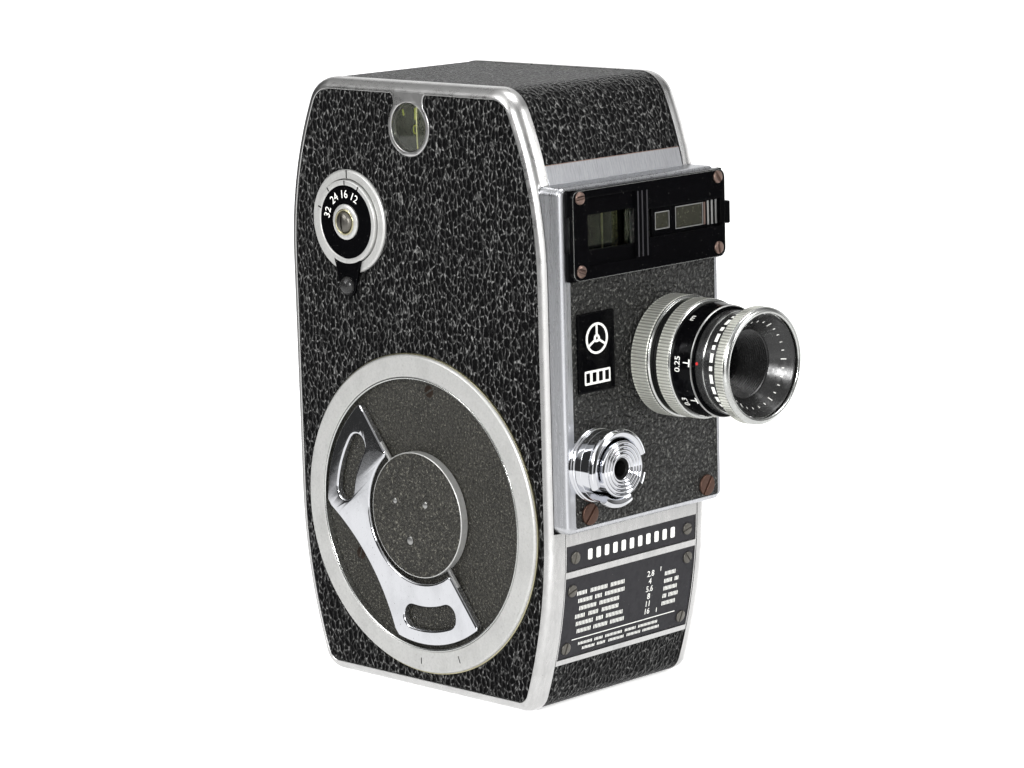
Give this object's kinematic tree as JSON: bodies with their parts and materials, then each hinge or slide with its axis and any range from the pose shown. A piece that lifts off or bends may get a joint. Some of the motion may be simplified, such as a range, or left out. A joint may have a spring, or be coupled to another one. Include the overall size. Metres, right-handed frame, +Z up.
{
  "type": "cine camera",
  "caption": "Upright spring-wound cine camera: folding winding key, speed dial, finder with sliding mask, focusing lens, release button and lift-off film door.",
  "frame": {"origin": "centre of the flat base, on the tripod plate", "axes": "+Z up, -Y is the way the lens looks, -X is the winding key's side, +X the film door's side"},
  "size_m": [0.0511, 0.1036, 0.125],
  "materials": {
    "cast_aluminium": "bare die casting",
    "polished_aluminium": "polished, lightly worn",
    "leatherette": "deeply grained, satin black",
    "crackle_paint": "black wrinkle enamel",
    "gloss_black": "gloss black enamel",
    "black_anodised": "satin black",
    "chrome": "bright plating",
    "nickel": "satin nickel",
    "steel": "turned steel",
    "brass": "machined brass",
    "copper_screws": "plating worn to copper brown",
    "optical_glass": "coated glass",
    "printed_plate": "black with white print",
    "counter_card": "yellow-green scale"
  },
  "bodies": {
    "camera_body": {"main_casting": "cast_aluminium", "motor_cover": "polished_aluminium", "motor_cover_leather": "leatherette", "band_leather": "leatherette", "tripod_plate": "steel", "lens_block": "polished_aluminium", "front_fascia": "crackle_paint", "badge_plaque": "gloss_black", "name_plate": "printed_plate", "exposure_plate": "printed_plate", "fascia_screw_left": "copper_screws", "fascia_screw_right": "copper_screws", "winding_ring": "polished_aluminium", "well_plate": "crackle_paint", "speed_ring": "polished_aluminium", "counter_glass": "optical_glass", "counter_index": "brass", "mechanism_bridge": "brass", "film_gate": "steel", "release_base": "chrome", "finder_plate": "gloss_black", "finder_front_lens": "optical_glass", "finder_tube": "black_anodised", "finder_eyepiece": "chrome", "finder_eye_lens": "optical_glass", "lens_mount_ring": "steel", "lens_barrel": "black_anodised", "lens_grip_ring": "nickel", "rear_element": "optical_glass", "iris_diaphragm": "black_anodised"},
    "door": {"film_door": "polished_aluminium", "film_door_leather": "leatherette"},
    "latch": {"door_latch": "chrome"},
    "dial": {"speed_dial": "gloss_black", "speed_dial_screw": "brass"},
    "counter": {"counter_dial": "counter_card"},
    "mask": {"finder_mask_slide": "black_anodised"},
    "collar": {"release_collar": "chrome"},
    "release": {"release_button": "chrome", "release_spring": "steel"},
    "winding": {"key_hub": "crackle_paint", "key_pin": "steel", "winding_arbor": "steel"},
    "key": {"key_handle": "chrome"},
    "pawl": {"ratchet_pawl": "steel"},
    "barrel": {"spring_barrel": "brass", "mainspring": "steel"},
    "intermediate": {"intermediate_gear": "brass"},
    "governor": {"governor_arbor": "brass"},
    "shutter": {"shutter_shaft": "steel", "shutter_disc": "black_anodised"},
    "focus": {"focus_ring": "nickel"},
    "lens_front": {"lens_cell": "black_anodised", "front_element": "optical_glass"},
    "aperture": {"aperture_ring": "nickel"},
    "feed": {"feed_spool": "black_anodised"},
    "takeup": {"takeup_spool": "black_anodised", "takeup_spindle": "steel"},
    "pressure": {"pressure_plate": "steel"},
    "claw": {"pulldown_claw": "steel"}
  },
  "joints": [
    {"name": "door_lift_off", "type": "slide", "parent": "camera_body", "child": "door", "axis": [1, 0, 0], "range_m": [0, 0.06]},
    {"name": "latch_turn", "type": "hinge", "parent": "door", "child": "latch", "pos_m": [0.023, 0, 0.03], "axis": [1, 0, 0], "range_deg": [0, 90]},
    {"name": "speed_select", "type": "hinge", "parent": "camera_body", "child": "dial", "pos_m": [-0.0235, 0.018, 0.0959], "axis": [1, 0, 0], "range_deg": [-29, 71]},
    {"name": "counter_turn", "type": "hinge", "parent": "camera_body", "child": "counter", "pos_m": [-0.021, 0, 0.1065], "axis": [1, 0, 0], "range_deg": [0, 330]},
    {"name": "mask_slide", "type": "slide", "parent": "camera_body", "child": "mask", "axis": [-1, 0, 0], "range_m": [0, 0.0223]},
    {"name": "release_lock", "type": "hinge", "parent": "camera_body", "child": "collar", "pos_m": [-0.0142, -0.044, 0.051], "axis": [0, 1, 0], "range_deg": [0, 45]},
    {"name": "release_press", "type": "slide", "parent": "camera_body", "child": "release", "axis": [0, 1, 0], "range_m": [0, 0.0016], "stiffness_N_per_m": 400, "springref_m": -0.002, "deforming": ["release_spring"]},
    {"name": "winding_turn", "type": "hinge", "parent": "camera_body", "child": "winding", "pos_m": [-0.0239, -0.0003, 0.0372], "axis": [1, 0, 0], "continuous": true},
    {"name": "key_fold", "type": "hinge", "parent": "winding", "child": "key", "pos_m": [-0.0239, -0.0003, 0.0372], "axis": [0, 0.6157, 0.788], "range_deg": [0, 90]},
    {"name": "pawl_lift", "type": "hinge", "parent": "camera_body", "child": "pawl", "pos_m": [-0.0068, -0.0139, 0.0412], "axis": [1, 0, 0], "range_deg": [-12, 0], "stiffness_Nm_per_rad": 0.0005, "springref_deg": 11.46},
    {"name": "barrel_turn", "type": "hinge", "parent": "camera_body", "child": "barrel", "pos_m": [-0.014, -0.0003, 0.0372], "axis": [1, 0, 0], "continuous": true},
    {"name": "intermediate_turn", "type": "hinge", "parent": "camera_body", "child": "intermediate", "pos_m": [-0.01, 0.0054, 0.0697], "axis": [1, 0, 0], "continuous": true},
    {"name": "governor_turn", "type": "hinge", "parent": "camera_body", "child": "governor", "pos_m": [-0.01, -0.009, 0.0699], "axis": [1, 0, 0], "continuous": true},
    {"name": "shutter_turn", "type": "hinge", "parent": "camera_body", "child": "shutter", "pos_m": [-0.005, -0.025, 0.0699], "axis": [0, 1, 0], "continuous": true},
    {"name": "focus_turn", "type": "hinge", "parent": "camera_body", "child": "focus", "pos_m": [0.0084, -0.052, 0.0699], "axis": [0, 1, 0], "range_deg": [0, 240]},
    {"name": "focus_travel", "type": "slide", "parent": "camera_body", "child": "lens_front", "axis": [0, -1, 0], "range_m": [0, 0.0007]},
    {"name": "aperture_turn", "type": "hinge", "parent": "lens_front", "child": "aperture", "pos_m": [0.0084, -0.062, 0.0699], "axis": [0, 1, 0], "range_deg": [0, 100]},
    {"name": "feed_turn", "type": "hinge", "parent": "camera_body", "child": "feed", "pos_m": [0.011, 0.0075, 0.093], "axis": [1, 0, 0], "continuous": true},
    {"name": "takeup_turn", "type": "hinge", "parent": "camera_body", "child": "takeup", "pos_m": [0.011, 0.0075, 0.033], "axis": [1, 0, 0], "continuous": true},
    {"name": "pressure_spring", "type": "slide", "parent": "camera_body", "child": "pressure", "axis": [0, 1, 0], "range_m": [0, 0.0012], "stiffness_N_per_m": 200, "springref_m": -0.002},
    {"name": "claw_stroke", "type": "slide", "parent": "camera_body", "child": "claw", "axis": [0, 0, -1], "range_m": [0, 0.0038]}
  ],
  "couplings": [
    {"joint": "intermediate_turn", "follows": "barrel_turn", "ratio": -4},
    {"joint": "governor_turn", "follows": "barrel_turn", "ratio": 12},
    {"joint": "shutter_turn", "follows": "barrel_turn", "ratio": -20},
    {"joint": "focus_turn", "follows": "focus_travel", "rad_per_m": 5983}
  ]
}
